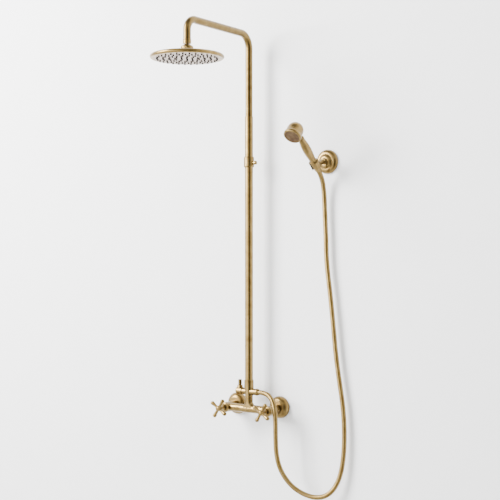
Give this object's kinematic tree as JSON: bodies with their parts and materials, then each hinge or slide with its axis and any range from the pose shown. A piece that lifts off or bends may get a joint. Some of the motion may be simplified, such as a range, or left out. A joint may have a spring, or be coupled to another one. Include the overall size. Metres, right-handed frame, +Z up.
{
  "type": "rainfall shower column",
  "caption": "Wall-mounted exposed shower column with a cross-handle mixer, riser, level arm, round rain head and a hand shower on a bracket and hose.",
  "frame": {"origin": "midway between the two water inlets, on the wall face", "axes": "+Z up along the riser, +Y into the wall, +X to the right along the wall"},
  "size_m": [0.413, 0.46, 1.3311],
  "materials": {
    "antique_brass": "satin brushed antique brass",
    "plain_brass": "machined brass",
    "hose_brass": "wound antique brass strip",
    "face_steel": "brushed steel plate",
    "spray_plate": "dark aged brass",
    "screw_steel": "zinc plated",
    "rubber": "black rubber",
    "nozzle_rubber": "dark silicone",
    "ceramic": "polished ceramic",
    "white_plastic": "nylon",
    "black_plastic": "black nylon"
  },
  "bodies": {
    "root": {"bracket_base": "plain_brass", "bracket_flange": "antique_brass", "bracket_grub_screw": "screw_steel", "bracket_holder": "antique_brass", "cup_liner": "black_plastic", "diverter_tee": "antique_brass", "eccentric_union_left": "plain_brass", "eccentric_union_right": "plain_brass", "guide_bush": "white_plastic", "hose_outlet_nut": "antique_brass", "inlet_washer_left": "rubber", "inlet_washer_right": "rubber", "locking_collar": "antique_brass", "lower_hose_washer": "rubber", "mixer_body": "antique_brass", "neck_union_ring": "antique_brass", "riser_tube": "antique_brass", "shower_hose": "hose_brass", "union_nut_left": "antique_brass", "union_nut_right": "antique_brass", "valve_bonnet_left": "antique_brass", "valve_bonnet_right": "antique_brass", "valve_cartridge_left": "plain_brass", "valve_cartridge_right": "plain_brass", "wall_flange_left": "antique_brass", "wall_flange_right": "antique_brass"},
    "hot_handle": {"ceramic_disc_left": "ceramic", "valve_spindle_left": "plain_brass", "cross_handle_left": "antique_brass", "handle_screw_left": "screw_steel", "handle_cap_left": "antique_brass"},
    "cold_handle": {"ceramic_disc_right": "ceramic", "valve_spindle_right": "plain_brass", "cross_handle_right": "antique_brass", "handle_screw_right": "screw_steel", "handle_cap_right": "antique_brass"},
    "diverter": {"diverter_spool": "plain_brass", "diverter_o_rings": "rubber", "diverter_cap": "antique_brass", "diverter_pin": "antique_brass", "diverter_screw": "screw_steel"},
    "thumbscrew": {"collar_thumbscrew": "antique_brass"},
    "carriage": {"piston_ring": "white_plastic"},
    "upper_pipe": {"telescopic_tube": "plain_brass", "upper_sleeve": "antique_brass", "shower_arm": "antique_brass", "arm_coupling": "antique_brass", "ball_stem": "plain_brass"},
    "swivel_liner": {"ball_liner": "white_plastic"},
    "rain_head": {"swivel_nut": "antique_brass", "rain_head_shell": "antique_brass", "rain_face_plate": "face_steel", "nozzle_mat": "nozzle_rubber"},
    "hand_shower": {"hose_cone_nut": "antique_brass", "upper_hose_washer": "rubber", "hand_shower_handle": "antique_brass", "hand_shower_collar": "antique_brass", "hand_shower_bell": "antique_brass", "hand_shower_face": "spray_plate"}
  },
  "joints": [
    {"name": "hot_turn", "type": "hinge", "parent": "root", "child": "hot_handle", "pos_m": [-0.075, -0.098, -0.005], "axis": [0, -1, 0], "range_deg": [0, 90]},
    {"name": "cold_turn", "type": "hinge", "parent": "root", "child": "cold_handle", "pos_m": [0.075, -0.098, -0.005], "axis": [0, -1, 0], "range_deg": [-90, 0]},
    {"name": "diverter_turn", "type": "hinge", "parent": "root", "child": "diverter", "pos_m": [-0.032, -0.051, 0.045], "axis": [1, 0, 0], "range_deg": [0, 90]},
    {"name": "thumbscrew_turn", "type": "hinge", "parent": "root", "child": "thumbscrew", "pos_m": [0.02, -0.051, 0.707], "axis": [1, 0, 0], "range_deg": [0, 360]},
    {"name": "height_slide", "type": "slide", "parent": "root", "child": "carriage", "axis": [0, 0, 1], "range_m": [0, 0.18]},
    {"name": "arm_swivel", "type": "hinge", "parent": "carriage", "child": "upper_pipe", "pos_m": [0, -0.051, 0.45], "axis": [0, 0, 1], "range_deg": [-75, 75]},
    {"name": "head_pitch", "type": "hinge", "parent": "upper_pipe", "child": "swivel_liner", "pos_m": [0, -0.338, 0.998], "axis": [1, 0, 0], "range_deg": [-12, 12]},
    {"name": "head_roll", "type": "hinge", "parent": "swivel_liner", "child": "rain_head", "pos_m": [0, -0.338, 0.998], "axis": [0, 1, 0], "range_deg": [-12, 12]},
    {"name": "hand_shower_lift", "type": "slide", "parent": "root", "child": "hand_shower", "axis": [0, -0.7431, 0.6691], "range_m": [0, 0.06]}
  ]
}
